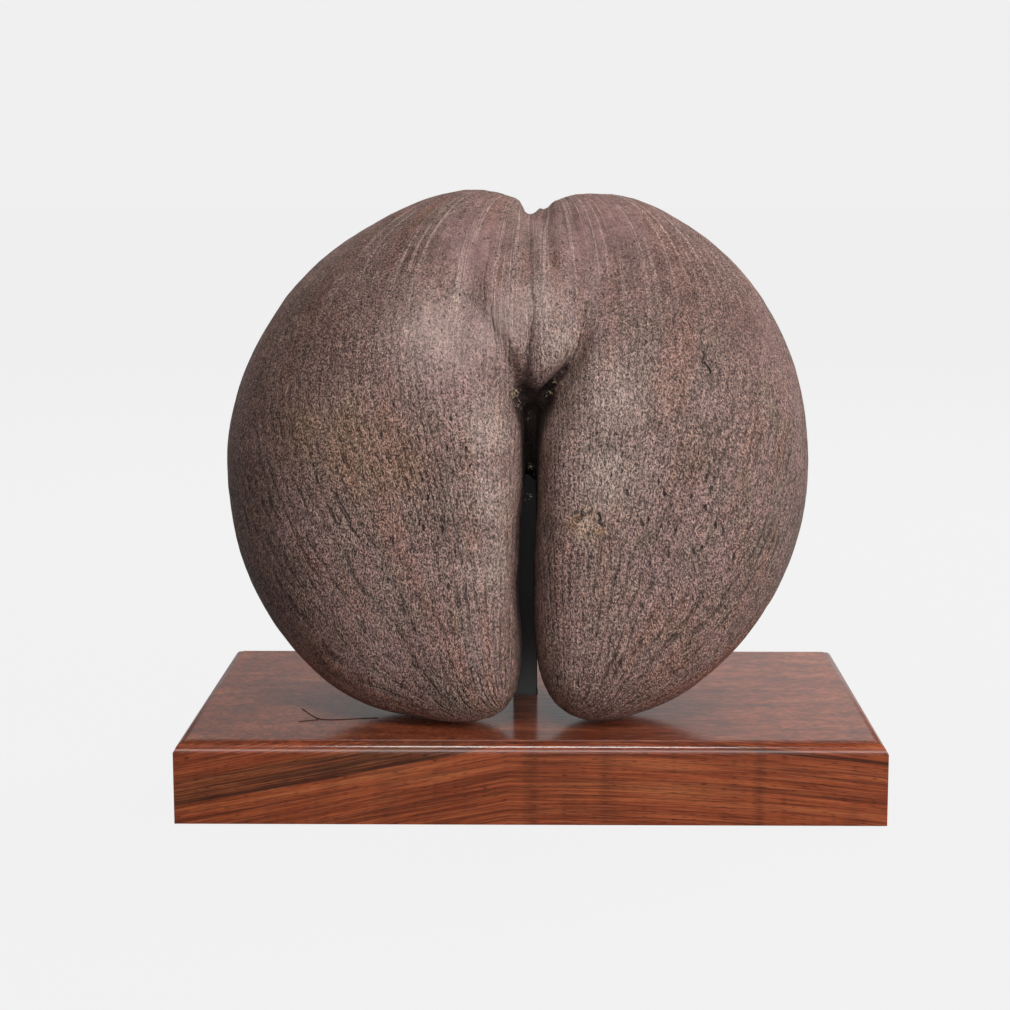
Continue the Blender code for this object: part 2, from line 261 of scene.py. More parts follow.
# Softboxes: place, target, width and height, watts, and whether it shows as a highlight. The
# back ones light the board's top and the lobes' edges, and would draw white lines on the gloss.
SOFTBOXES = (
    ("overhead softbox", (0.0, -0.95, 1.45), (0, -0.05, 0.15), (0.45, 0.30), 9, True),
    ("right softbox", (1.35, -1.05, 0.60), (0, 0, 0.15), (0.8, 0.9), 21, True),
    ("front softbox", (0.25, -2.3, 0.50), (0, 0, 0.15), (2.0, 0.9), 22, True),
    ("back softbox", (0.8, 1.0, 1.4), (0, 0.05, 0.05), (0.9, 0.9), 24, False),
    ("back left softbox", (-0.8, 1.0, 1.4), (0, 0.05, 0.05), (0.9, 0.9), 12, False),
)
# The camera, fitted to the plinth's corners in the photo: sensor and focal length in
# millimetres, its place, and how many degrees it looks down, looks to the left and is rolled
CAMERA_SENSOR = 36
CAMERA_LENS = 76.8
CAMERA_PLACE = (0.0085, -1.064, 0.2965)
CAMERA_DOWN = 8.65
CAMERA_LEFT = 1.16
CAMERA_ROLL = -0.15


def pick(obj):
    """Selects one object alone and makes it the active one."""
    bpy.ops.object.select_all(action="DESELECT")
    obj.select_set(True)
    bpy.context.view_layer.objects.active = obj


def finish_with(obj, kind, **settings):
    """Adds a modifier with its settings and applies it."""
    pick(obj)
    modifier = obj.modifiers.new(kind.title(), kind)
    for name, value in settings.items():
        setattr(modifier, name, value)
    bpy.ops.object.modifier_apply(modifier=modifier.name)


def keep_place(obj, name):
    """Names an object and puts its place into its mesh."""
    pick(obj)
    bpy.ops.object.transform_apply(location=True, rotation=True, scale=True)
    obj.name = obj.data.name = name
    return obj


def add_block(name, low, high):
    bpy.ops.object.select_all(action="DESELECT")
    low, high = Vector(low), Vector(high)
    bpy.ops.mesh.primitive_cube_add(size=1, location=(low + high) / 2, scale=high - low)
    return keep_place(bpy.context.object, name)


def add_drill(name, radius, low, high):
    """An upright cylinder on the post's axis."""
    bpy.ops.object.select_all(action="DESELECT")
    bpy.ops.mesh.primitive_cylinder_add(
        vertices=64, radius=radius, depth=high - low, location=(POST_X, 0, (low + high) / 2)
    )
    return keep_place(bpy.context.object, name)


def select_faces(obj, wanted):
    """In edit mode, selects the faces whose middle and normal are wanted."""
    bpy.ops.mesh.select_mode(type="FACE")
    bpy.ops.mesh.select_all(action="DESELECT")
    bm = bmesh.from_edit_mesh(obj.data)
    for face in bm.faces:
        face.select_set(wanted(face.calc_center_median(), face.normal))
    bmesh.update_edit_mesh(obj.data)


def lift(height):
    bpy.ops.mesh.extrude_region_move(TRANSFORM_OT_translate={"value": (0, 0, height)})


def cut_out(obj, cutter):
    """Cuts with a helper and throws it away."""
    finish_with(obj, "BOOLEAN", operation="DIFFERENCE", object=cutter, solver="EXACT")
    bpy.data.objects.remove(cutter)


def make_plinth():
    """A board with a quarter round moulding, a fine step above it and one below it."""
    low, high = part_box("plinth")
    shoulder = high.z - OVOLO_RADIUS - QUIRK
    plinth = add_block("moulded_plinth", low, (high.x, high.y, shoulder))
    bpy.ops.object.mode_set(mode="EDIT")
    select_faces(plinth, lambda middle, normal: normal.z > 0.5)
    bpy.ops.mesh.inset(thickness=LEDGE)
    lift(OVOLO_RADIUS + OVOLO_FOOT)
    bpy.ops.mesh.region_to_loop()
    bpy.ops.mesh.bevel(offset=OVOLO_RADIUS, segments=OVOLO_SEGMENTS, affect="EDGES")
    select_faces(plinth, lambda middle, normal: normal.z > 0.999 and middle.z > shoulder + MM)
    bpy.ops.mesh.inset(thickness=QUIRK)
    lift(QUIRK - OVOLO_FOOT)
    bpy.ops.object.mode_set(mode="OBJECT")
    finish_with(
        plinth,
        "BEVEL",
        width=EDGE_ROUND,
        segments=3,
        limit_method="ANGLE",
        angle_limit=radians(50),
    )
    side = MORTISE_SIDE / 2
    mortise_low = (POST_X - side, -side, high.z - MORTISE_DEPTH)
    mortise_high = (POST_X + side, side, high.z + CUTTER_PAST)
    cut_out(plinth, add_block("mortise", mortise_low, mortise_high))
    cut_out(plinth, add_drill("counterbore", COUNTERBORE_RADIUS, -CUTTER_PAST, COUNTERBORE_DEPTH))
    cut_out(plinth, add_drill("bore", BORE_RADIUS, 0, high.z))
    pick(plinth)
    bpy.ops.object.shade_smooth_by_angle(angle=radians(30))
    finish_with(plinth, "WEIGHTED_NORMAL", keep_sharp=True)
    return plinth


def smooth_step(value, start, end):
    """0 before start and 1 past end, with a soft change between them."""
    share = np.clip((value - start) / (end - start), 0, 1)
    return share * share * (3 - 2 * share)


def humps(points, size, seed=0.0):
    """Soft noise from about -1 to 1, with humps about one size across."""
    shift = Vector((seed, seed * 1.7, seed * 2.3))
    return np.array([noise.noise(Vector(point) / size + shift) for point in points])


def meridians(points, poles):
    """Where each point lies on its lobe: twice across the streaks, then along them."""
    top, foot = np.array(poles)
    axis = (foot - top) / np.linalg.norm(foot - top)
    offset = points - (top + foot) / 2
    along = offset @ axis
    radial = offset - np.outer(along, axis)
    reach = np.maximum(np.linalg.norm(radial, axis=1), 0.1 * MM)
    front = np.array((0, -1.0, 0)) + axis * axis[1]
    front /= np.linalg.norm(front)
    side = np.cross(axis, front)
    polar = np.arctan2(reach, -along)
    return FLOW_RADIUS * np.stack([radial @ front / reach, radial @ side / reach, polar], axis=1)


def streak_flow(points):
    """The streak coordinates of both lobes, which meet on the seam between them."""
    right = smooth_step(points[:, 0], SEAM_X - SEAM_WIDTH, SEAM_X + SEAM_WIDTH)[:, None]
    return meridians(points, LEFT_POLES) * (1 - right) + meridians(points, RIGHT_POLES) * right


def vertex_points(mesh):
    points = np.empty(len(mesh.vertices) * 3)
    mesh.vertices.foreach_get("co", points)
    return points.reshape(-1, 3)


def move_out(mesh, heights):
    """Moves each point along its normal, but not out of the box of the solid nut."""
    normals = np.empty(len(mesh.vertices) * 3)
    mesh.vertex_normals.foreach_get("vector", normals)
    points = vertex_points(mesh) + normals.reshape(-1, 3) * heights[:, None]
    points = np.clip(points, *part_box("nut"))
    mesh.vertices.foreach_set("co", points.ravel())
    mesh.update()


def put_attribute(mesh, name, values):
    """Keeps a number or a vector for each point of a mesh, for its material to read."""
    kind, field = ("FLOAT", "value") if values.ndim == 1 else ("FLOAT_VECTOR", "vector")
    made = mesh.attributes.new(name, kind, "POINT")
    made.data.foreach_set(field, values.astype(np.float32).ravel())


def soft_spots(points, spots):
    """How far each point lies within soft round spots."""
    share = np.zeros(len(points))
    for middle, radius in spots:
        distance = np.linalg.norm(points / MM - middle, axis=1)
        share = np.maximum(share, np.exp(-((distance / radius) ** 2)))
    return share


def near_route(points, route):
    """How far points lie from a route seen from the front, and how far along it, in
    millimetres and from 0 to 1; points on the back of the nut are far from any."""
    seen = points[:, (0, 2)] / MM
    route = np.array(route, float)
    lengths = np.linalg.norm(np.diff(route, axis=0), axis=1)
    distance = np.full(len(points), np.inf)
    along = np.zeros(len(points))
    passed = 0.0
    for start, stop, length in zip(route, route[1:], lengths):
        way = (stop - start) / length
        step = np.clip((seen - start) @ way, 0, length)
        apart = np.linalg.norm(seen - start - step[:, None] * way, axis=1)
        nearer = apart < distance
        distance[nearer] = apart[nearer]
        along[nearer] = (passed + step[nearer]) / lengths.sum()
        passed += length
    distance[points[:, 1] > ROUTES_END] = np.inf
    return distance, along


def soft_relief(points, flow):
    """How far the shell's lumps, and its ridges along the streaks, stand out at each point."""
    relief = sum(height * humps(points, size * MM, seed) for height, size, seed in LUMPS)
    polar = flow[:, 2] / FLOW_RADIUS
    waist, more_at_notch, more_at_feet = BROAD_HEIGHTS
    broad = waist + more_at_notch * (1 - smooth_step(polar, *NOTCH_END))
    broad += more_at_feet * smooth_step(polar, *FEET_START)
    for height, size, seed in ((broad, *BROAD_RIDGES), FINE_RIDGES):
        relief += height * humps(flow * RIDGES_DRAWN_OUT, size * MM, seed)
    return relief * MM


def tongue_creases(points):
    """How deep the grooves round the tongue cut, and the painted shade in them, at each point."""
    depth_here, crease_shade = np.zeros(len(points)), np.zeros(len(points))
    for route, depth, width, shade_share in TONGUE_GROOVES:
        distance, along = near_route(points, route)
        share = np.exp(-((distance / width) ** 2)) * (1 - smooth_step(along, *GROOVE_FADE))
        depth_here += depth * MM * share
        crease_shade = np.maximum(crease_shade, shade_share * share)
    return depth_here, crease_shade


def notch_depth(points):
    """How deep the dips in the top notch, and the creases that they run into, cut."""
    x, z = points[:, (0, 2)].T / MM
    rise = sum(share * smooth_step(z, low, high) for share, low, high in DIP_RISES)
    depth = np.zeros(len(points))
    for heights, middles, half_width, dip in NOTCH_DIPS:
        aside = (x - np.interp(z, heights, middles)) / half_width
        depth += dip * MM * np.exp(-(aside**2)) * rise
    return depth


def split_open(points):
    """How far each point lies within the crack and the nick."""
    split = np.zeros(len(points))
    for route, width in ((CRACK, CRACK_WIDTH), (NICK, NICK_WIDTH)):
        distance, _ = near_route(points, route)
        split = np.maximum(split, np.exp(-((distance / width) ** 2)))
    return split


def scar_relief(points):
    """Ridges round the scar of a knock, and how far each point lies within it."""
    x, z = (points[:, (0, 2)] / MM - SCAR).T
    in_front = points[:, 1] < 0
    reach = np.hypot(x, z * SCAR_SQUASH)
    inside = np.exp(-((reach / SCAR_RADIUS) ** 4)) * in_front
    rim_radius, rim_width, rim_height = SCAR_RIM
    rim = np.exp(-(((reach - rim_radius) / rim_width) ** 2)) * in_front
    turn = SCAR_RIDGES * np.arctan2(z, x) + SCAR_WANDER * humps(points, 4 * MM, 5.0)
    return (rim_height * rim * np.cos(turn) - SCAR_DEPTH * inside) * MM, inside


def refine(obj, low, high, end, cuts):
    """Divides the faces that lie in a box seen from the front and no further back than end."""

    def wanted(middle, normal):
        x, y, z = middle / MM
        return low[0] < x < high[0] and low[1] < z < high[1] and y < end

    pick(obj)
    bpy.ops.object.mode_set(mode="EDIT")
    select_faces(obj, wanted)
    bpy.ops.mesh.subdivide(number_cuts=cuts, smoothness=0.0)
    bpy.ops.object.mode_set(mode="OBJECT")


def make_shell():
    """The whole nut: a finer, softer copy of the solid, with the relief of its shell."""
    shell = bpy.data.objects.new("coco_de_mer_shell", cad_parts["nut"].data.copy())
    bpy.context.scene.collection.objects.link(shell)
    pick(shell)
    bpy.ops.object.mode_set(mode="EDIT")
    bpy.ops.mesh.select_all(action="SELECT")
    bpy.ops.mesh.remove_doubles(threshold=0.001 * MM)
    bpy.ops.object.mode_set(mode="OBJECT")
    finish_with(shell, "REMESH", mode="VOXEL", voxel_size=SHELL_VOXEL)
    finish_with(shell, "SMOOTH", factor=0.5, iterations=SHELL_SMOOTHING)
    for zone in FINE_ZONES:
        refine(shell, *zone)
    mesh = shell.data
    points = vertex_points(mesh)
    x, y, z = points.T
    flow = streak_flow(points)
    creases, crease_shade = tongue_creases(points)
    split = split_open(points)
    ridges, scar = scar_relief(points)
    heights = soft_relief(points, flow) + ridges - creases - notch_depth(points)
    heights -= CRACK_DEPTH * MM * split
    low, high = POCKET_HEIGHTS
    near_post = (np.abs(x - POST_X) < POCKET_REACH) & (np.abs(y) < POCKET_REACH)
    heights[near_post & (z > low) & (z < high)] = 0
    move_out(mesh, heights)
    # Where painted shade darkens the deep cleft between the lobes
    cleft = smooth_step(y, *CLEFT_FRONT) * (1 - smooth_step(z, *CLEFT_TOP))
    cleft *= (np.abs(x - SEAM_X) < CLEFT_REACH) & (y < CLEFT_BACK)
    kept = {"flow": flow, "crease": crease_shade, "split": split, "scar": scar, "cleft": cleft}
    for name, spots in SPOTS.items():
        kept[name] = soft_spots(points, spots)
    for name, values in kept.items():
        put_attribute(mesh, name, values)
    pick(shell)
    bpy.ops.object.shade_smooth()
    return shell


def make_strand(route, radius):
    """A hair of fibre along a route in millimetres, as a mesh."""
    bpy.ops.object.select_all(action="DESELECT")
    data = bpy.data.curves.new("strand", "CURVE")
    data.dimensions = "3D"
    data.bevel_depth = radius * MM
    data.bevel_resolution = 1
    data.resolution_u = 4
    spline = data.splines.new("NURBS")
    spline.points.add(len(route) - 1)
    spline.use_endpoint_u = True
    spline.order_u = 3
    for point, place in zip(spline.points, route):
        point.co = (*(Vector(place) * MM), 1.0)
    strand = bpy.data.objects.new("strand", data)
    bpy.context.scene.collection.objects.link(strand)
    pick(strand)
    bpy.ops.object.convert(target="MESH")
    return strand


def join(name, objects):
    bpy.ops.object.select_all(action="DESELECT")
    for obj in objects:
        obj.select_set(True)
    bpy.context.view_layer.objects.active = objects[0]
    bpy.ops.object.join()
    return keep_place(objects[0], name)


def make_husk_fibres():
    """Curls of husk left in the cleft, each a few strands wandering round its place."""
    chance = random.Random(7)
    strands = []
    for place, spread, count in HUSK_TUFTS:
        for _ in range(count):
            at = Vector([middle + chance.gauss(0, spread / 2) for middle in place])
            route = [at.copy()]
            heading = Vector([chance.uniform(-1, 1) for _ in range(3)]).normalized()
            for _ in range(HUSK_STEPS):
                heading += HUSK_TURN * Vector([chance.uniform(-1, 1) for _ in range(3)])
                heading.normalize()
                at = at + heading * chance.uniform(*HUSK_STEP)
                route.append(at.copy())
            strands.append(make_strand(route, chance.uniform(*HUSK_RADIUS)))
    return join("husk_fibres", strands)


def make_stray_fibre():
    """A dark fibre and its side shoot, fallen on the plinth by the left foot."""
    lift_by = Vector((0, 0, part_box("plinth")[1].z / MM + STRAY_RADIUS))
    strands = [
        make_strand([Vector((*place, 0)) + lift_by for place in route], STRAY_RADIUS)
        for route in STRAY_FIBRE
    ]
    return join("stray_fibre", strands)


def linear(code):
    """An sRGB hex colour as the linear colour that a socket takes."""
    parts = [int(code[at : at + 2], 16) / 255 for at in (1, 3, 5)]
    return (*[c / 12.92 if c <= 0.04045 else ((c + 0.055) / 1.055) ** 2.4 for c in parts], 1.0)


def add_node(tree, kind, settings=None, inputs=None):
    """Adds a node with its settings; an input is given a value, a socket or another node."""
    made = tree.nodes.new("ShaderNode" + kind)
    for name, value in (settings or {}).items():
        setattr(made, name, value)
    sockets = {socket.identifier: socket for socket in made.inputs}
    for name, value in (inputs or {}).items():
        if isinstance(value, bpy.types.Node):
            value = next(socket for socket in value.outputs if socket.enabled)
        if isinstance(value, bpy.types.NodeSocket):
            tree.links.new(value, sockets[name])
        else:
            sockets[name].default_value = value
    return made


def new_material(name, **constants):
    """A material with constant values on its shader, and what its nodes are added with."""
    made = bpy.data.materials.new(name)
    made.use_nodes = True
    shader = made.node_tree.nodes["Principled BSDF"]
    for key, value in constants.items():
        shader.inputs[key.replace("_", " ")].default_value = value
    return made, partial(add_node, made.node_tree), shader


def set_stops(ramp, stops):
    """Gives a colour ramp its stops, as (place, colour)."""
    elements = ramp.color_ramp.elements
    elements.remove(elements[-1])
    for at, (place, colour) in enumerate(stops):
        element = elements.new(place) if at else elements[0]
        element.position = place
        element.color = linear(colour)


def paint_over(add, tone, layers):
    """Lays colours over a tone: each where its pattern goes from low to high, at most so much."""
    for pattern, low, high, most, colour in layers:
        share = add(
            "MapRange",
            None,
            {"Value": pattern, "From Min": low, "From Max": high, "To Max": most},
        )
        tone = add(
            "Mix",
            {"data_type": "RGBA"},
            {"Factor_Float": share, "A_Color": tone, "B_Color": linear(colour)},
        )
    return tone


def multiply(add, layers):
    """Multiplies patterns, each first taken from its low and high to a first and a last value."""
    total = 1.0
    for pattern, low, high, first, last in layers:
        share = add(
            "MapRange",
            None,
            {
                "Value": pattern,
                "From Min": low,
                "From Max": high,
                "To Min": first,
                "To Max": last,
            },
        )
        total = add("Math", {"operation": "MULTIPLY"}, {"Value": share, "Value_001": total})
    return total


def add_up(add, parts):
    """Adds patterns together, each times its share."""
    total = 0.0
    for pattern, share in parts:
        total = add(
            "Math",
            {"operation": "MULTIPLY_ADD"},
            {"Value": pattern, "Value_001": share, "Value_002": total},
        )
    return total


def finish_shader(made, shader, sources):
    """Links what the nodes make to the shader's inputs."""
    for name, source in sources.items():
        output = next(socket for socket in source.outputs if socket.enabled)
        made.node_tree.links.new(output, shader.inputs[name])
    return made


def shell_material():
    """Coco de mer endocarp, brushed clean of its husk and dried: a hard fibrous nutshell.

    The eye sees grey brown with fine pale and dark grain, streaks that run from notch to
    foot, rows of small dark pits between them, and a dull sheen where hands have worn it.
    Painted light and highlights lie over the pink and worn spots, and painted shade over the
    dark spots, the cleft, the grooves and the crack.
    """
    made, add, shader = new_material("dried nutshell, brushed", IOR=1.45)
    place = add("TexCoord").outputs["Object"]
    flow = add("Attribute", {"attribute_name": "flow"}).outputs["Vector"]
    spots = {
        name: add("Attribute", {"attribute_name": name}).outputs["Fac"]
        for name in (*SPOTS, "crease", "split", "scar", "cleft")
    }
    # The grain is short crooked ridges about 1.5 mm apart, longer than wide, and leans back
    # with the lobes. That is the finest grain that the photo shows.
    leaning = add(
        "Mapping",
        None,
        {"Vector": place, "Rotation": (GRAIN_LEAN, 0, 0), "Scale": GRAIN_DRAWN_OUT},
    )
    # The streaks' own patterns follow the flow, each drawn out along it by its share.
    drawn_out = {
        share: add("Mapping", None, {"Vector": flow, "Scale": (1, 1, share)})
        for share in (0.03, 0.22, 0.35)
    }
    patterns = {}
    for name, vector, size, detail, crooked in (
        ("grain", leaning, 0.64, 0, 0.8),
        ("knobs", leaning, 1.15, 1, 0.6),
        ("coarse", leaning, 2.4, 2, 0),
        ("hairs", drawn_out[0.03], 3.4, 2, 0),
        ("bands", drawn_out[0.22], 16, 2, 0),
        ("broken", drawn_out[0.35], 2.6, 1, 0),
        ("mauve", place, 26, 3, 0),
        ("drab", leaning, 15, 3, 0),
        ("mottle", place, 9, 2, 0),
    ):
        inputs = {
            "Vector": vector,
            "Scale": 1 / (size * MM),
            "Detail": detail,
            "Roughness": 0.6,
            "Distortion": crooked,
        }
        patterns[name] = add("TexNoise", None, inputs)
    upright = add("Mapping", None, {"Vector": leaning, "Scale": PITS_DRAWN_OUT})
    for name, size in (("pits", 3.8), ("dashes", 2.6)):
        patterns[name] = add("TexVoronoi", None, {"Vector": upright, "Scale": 1 / (size * MM)})
    # The rows are about 4 mm apart at the waist. Towards the notch and the feet they draw
    # together, so fewer and broader ones take over.
    parts = add("SeparateXYZ", None, {"Vector": flow}).outputs
    notch, foot = (
        add(
            "MapRange",
            None,
            {"Value": parts["Z"], "From Min": far * FLOW_RADIUS, "From Max": near * FLOW_RADIUS},
        )
        for far, near in ((1.15, 0.45), (2.0, 2.5))
    )
    turn = add(
        "Math", {"operation": "ARCTAN2"}, {"Value": parts["Y"], "Value_001": parts["X"]}
    )
    wander = tuple((patterns[name], ROW_WANDER) for name in ("mottle", "drab"))
    close_rows, broad_rows = (
        add("Math", {"operation": "SINE"}, {"Value": add_up(add, ((turn, count), *wander))})
        for count in ROWS
    )
    rows = add(
        "Mix",
        None,
        {
            "Factor_Float": add_up(add, ((notch, 1), (foot, 1))),
            "A_Float": close_rows,
            "B_Float": broad_rows,
        },
    )
    # Hands have worn the grain down round the notch and in the pink and worn spots.
    worn = add_up(add, ((notch, 0.45), (spots["rosy"], 0.35), (spots["rubbed"], 0.20)))
    grain, knobs = (
        add("Mix", None, {"Factor_Float": worn, "A_Float": patterns[name], "B_Float": 0.5})
        for name in ("grain", "knobs")
    )
    pits = multiply(
        add,
        (
            (patterns["pits"], 0.23, 0.13, 0, 1),
            (spots["pitted"], 0.15, 0.6, 0, 1),
            (patterns["mottle"], 0.42, 0.50, 0, 1),
        ),
    )
    dashes = multiply(
        add, ((patterns["dashes"], 0.24, 0.14, 0, 1), (patterns["drab"], 0.46, 0.56, 0.1, 1))
    )
    furrows = multiply(
        add,
        (
            (rows, -0.1, -0.8, 0, 1),
            (patterns["broken"], 0.54, 0.43, 0, 1),
            (patterns["mauve"], 0.60, 0.45, 0.3, 1),
            (notch, 0, 1, 1, 0.3),
            (spots["rubbed"], 0, 1, 1, 0.3),
            (parts["Z"], 1.3 * FLOW_RADIUS, 1.9 * FLOW_RADIUS, 0.6, 1),
        ),
    )
    # Pale hair lines run out from the notch.
    hairs = multiply(add, ((patterns["hairs"], 0.54, 0.62, 0, 1), (notch, 0.1, 0.8, 0, 1)))
    tint = paint_over(
        add,
        linear("#7E625C"),
        (
            (patterns["mauve"], 0.42, 0.66, 0.55, "#88696A"),
            (patterns["drab"], 0.46, 0.62, 0.55, "#6C5F52"),
            (patterns["bands"], 0.50, 0.64, 0.52, "#855B4B"),
            # painted light with a pink tone
            (spots["rosy"], 0.0, 1.0, 0.75, "#947472"),
            (spots["ochre"], 0.0, 1.0, 0.50, "#83603F"),
            # painted shade in spots
            (spots["dusky"], 0.0, 1.0, 0.88, "#644742"),
            # painted highlight where the shell is worn smooth
            (spots["rubbed"], 0.0, 1.0, 0.65, "#A38E85"),
            (spots["scar"], 0.0, 1.0, 0.80, "#A08672"),
            (spots["scabbed"], 0.2, 0.7, 0.80, "#83603F"),
            (hairs, 0.0, 1.0, 0.60, "#B49A90"),
            (grain, 0.50, 0.64, 0.38, "#8B786B"),
            (grain, 0.50, 0.36, 0.42, "#6F5045"),
        ),
    )
    shade = multiply(
        add,
        (
            (grain, 0.34, 0.66, 0.42, 1.66),
            (knobs, 0.36, 0.64, 0.78, 1.22),
            (patterns["coarse"], 0.34, 0.60, 0.88, 1.10),
            (rows, -1.0, 1.0, 0.94, 1.04),
            (patterns["mottle"], 0.36, 0.62, 0.88, 1.10),
            # painted shade: the top round the notch is made darker
            (notch, 0, 1, 1, 0.90),
            (furrows, 0, 1, 1, 0.50),
            (pits, 0, 1, 1, 0.22),
            (dashes, 0, 1, 1, 0.50),
            # painted shade in the grooves round the tongue
            (spots["crease"], 0, 1, 1, 0.35),
            # painted shade in the cleft
            (spots["cleft"], 0, 1, 1, 0.22),
            (spots["sooty"], 0.2, 0.7, 1, 0.25),
            # painted shade inside the crack and the nick
            (spots["split"], 0.2, 0.8, 1, 0.10),
        ),
    )
    colour = add("VectorMath", {"operation": "SCALE"}, {"Vector": tint, "Scale": shade})
    rough = add_up(add, ((spots["rubbed"], -0.18), (grain, -0.2), (0.66, 1.0)))
    height = add_up(
        add,
        (
            (grain, 1.0),
            (knobs, 0.8),
            (patterns["coarse"], 0.5),
            (rows, 0.12),
            (hairs, 0.3),
            (furrows, -0.7),
            (pits, -1.2),
            (dashes, -0.6),
        ),
    )
    normal = add("Bump", None, {"Height": height, "Distance": 0.6 * MM})
    return finish_shader(
        made, shader, {"Base Color": colour, "Roughness": rough, "Normal": normal}
    )


def rosewood_material():
    """Rosewood board, planed and sanded, under a clear gloss lacquer polished by hand.

    The eye sees orange brown wood with darker figure that runs along the board, short dark
    pores, and over it the clear reflection of a thick coat.
    """
    made, add, shader = new_material(
        "rosewood, gloss lacquered",
        Roughness=0.45,
        Coat_Weight=1.0,
        Coat_Roughness=0.15,
        Coat_IOR=1.5,
        Specular_IOR_Level=0.2,
    )
    across = add("SeparateXYZ", None, {"Vector": add("TexCoord").outputs["Object"]}).outputs
    # The grain climbs from the left end, lies level and dips a little to the right end.
    left_part = add_up(add, ((across["X"], 1), (-GRAIN_LEVEL_FROM, 1)))
    climb = add("Math", {"operation": "MINIMUM"}, {"Value": left_part, "Value_001": 0.0})
    dip = add("Math", {"operation": "MAXIMUM"}, {"Value": across["X"], "Value_001": 0.0})
    dip = add("Math", {"operation": "POWER"}, {"Value": dip, "Value_001": 2.0})
    bent = add_up(add, ((climb, -GRAIN_CLIMB), (dip, GRAIN_DIP), (across["Z"], 1)))
    # Sizes are along the board, across it and up. Real pores are about 0.2 mm wide, too fine
    # to show, so they and the fibres are drawn coarser.
    patterns = {}
    for name, sizes, height, detail in (
        ("figure", (140, 11, 9), bent, 2),
        ("lines", (80, 7, 1.3), bent, 2),
        ("fibres", (26, 1.5, 0.5), bent, 1),
        ("pores", (4.6, 0.8, 0.32), bent, 0),
        ("cross", (14, 120, 60), across["Z"], 1),
    ):
        x, y, z = (1 / (size * MM) for size in sizes)
        vector = add("CombineXYZ", None, {"X": across["X"], "Y": across["Y"], "Z": height})
        vector = add("Mapping", None, {"Vector": vector, "Scale": (x, y, z)})
        patterns[name] = add(
            "TexNoise", None, {"Vector": vector, "Scale": 1.0, "Detail": detail}
        )
    wood = add("ValToRGB", None, {"Fac": patterns["figure"]})
    set_stops(
        wood, ((0.30, "#78341C"), (0.45, "#8D4225"), (0.56, "#9A4A2B"), (0.72, "#AA603A"))
    )
    wood = paint_over(
        add,
        wood,
        (
            (patterns["lines"], 0.52, 0.36, 0.48, "#5C2818"),
            (patterns["lines"], 0.56, 0.70, 0.25, "#B8683A"),
            (patterns["cross"], 0.52, 0.70, 0.25, "#5E3020"),
        ),
    )
    fade_in, fade_out = STREAK_FADES
    streak_depths, curl_depths, step_heights = (
        tuple(at * MM for at in places) for places in (STREAK_FRONT, CURL_FRONT, STEP_SHADE)
    )
    for height, thickness, left, right, most, colour in WOOD_STREAKS:
        off = add_up(add, ((bent, 1), (-height * MM, 1)))
        off = add("Math", {"operation": "ABSOLUTE"}, {"Value": off})
        streak = multiply(
            add,
            (
                (off, thickness * MM, 0.5 * thickness * MM, 0, 1),
                (across["X"], left * MM, (left + fade_in) * MM, 0, 1),
                (across["X"], right * MM, (right - fade_out) * MM, 0, 1),
                (across["Y"], *streak_depths, 0, 1),
                (patterns["lines"], 0.60, 0.40, 0.55, 1),
            ),
        )
        wood = paint_over(add, wood, ((streak, 0, 1, most, colour),))
    for middle, half_width, most in WOOD_CURLS:
        off = add_up(add, ((across["X"], 1), (-middle * MM, 1)))
        off = add("Math", {"operation": "ABSOLUTE"}, {"Value": off})
        curl = multiply(
            add,
            (
                (off, half_width * MM, 0, 0, 1),
                (across["Y"], *curl_depths, 0, 1),
                (patterns["fibres"], 0.65, 0.35, 0.6, 1),
            ),
        )
        wood = paint_over(add, wood, ((curl, 0, 1, most, "#4A2417"),))
    begin, full, still_full, end = step_heights
    step_shade = multiply(add, ((across["Z"], begin, full, 0, 1), (across["Z"], end, still_full, 0, 1)))
    wood = paint_over(
        add,
        wood,
        (
            # painted shade along the step above the moulding
            (step_shade, 0, 1, 0.45, "#66301F"),
            (patterns["fibres"], 0.48, 0.32, 0.65, "#4E2416"),
            (patterns["fibres"], 0.56, 0.70, 0.35, "#B87048"),
            (patterns["pores"], 0.39, 0.27, 0.62, "#2B140D"),
        ),
    )
    normal = add("Bump", None, {"Height": patterns["pores"], "Distance": 0.02 * MM})
    return finish_shader(made, shader, {"Base Color": wood, "Normal": normal})


def husk_material(name, colour):
    """Dry husk fibre, as it grew: matt straw with darker lengths."""
    made, add, shader = new_material(name, Roughness=0.75)
    place = add("TexCoord").outputs["Object"]
    lengths = add("TexNoise", None, {"Vector": place, "Scale": 1 / (1.5 * MM)})
    tone = add("ValToRGB", None, {"Fac": lengths})
    set_stops(tone, ((0.35, "#3A281C"), (0.65, colour)))
    return finish_shader(made, shader, {"Base Color": tone})


def paint_material():
    """Steel bar under satin black paint: nearly black, with a soft grey sheen."""
    made, add, shader = new_material(
        "steel, painted satin black", Roughness=0.42, Base_Color=linear("#1B1918")
    )
    place = add("TexCoord").outputs["Object"]
    speckle = add("TexNoise", None, {"Vector": place, "Scale": 1 / (0.8 * MM)})
    normal = add("Bump", None, {"Height": speckle, "Distance": 0.04 * MM})
    return finish_shader(made, shader, {"Normal": normal})


def zinc_material():
    """Zinc plated steel: a pale blue grey metal with a faint cloudy bloom."""
    made, add, shader = new_material(
        "steel, zinc plated", Metallic=1.0, Base_Color=linear("#B4B6B8")
    )
    place = add("TexCoord").outputs["Object"]
    bloom = add("TexNoise", None, {"Vector": place, "Scale": 1 / (2.5 * MM)})
    rough = add("MapRange", None, {"Value": bloom, "To Min": 0.25, "To Max": 0.45})
    return finish_shader(made, shader, {"Roughness": rough})


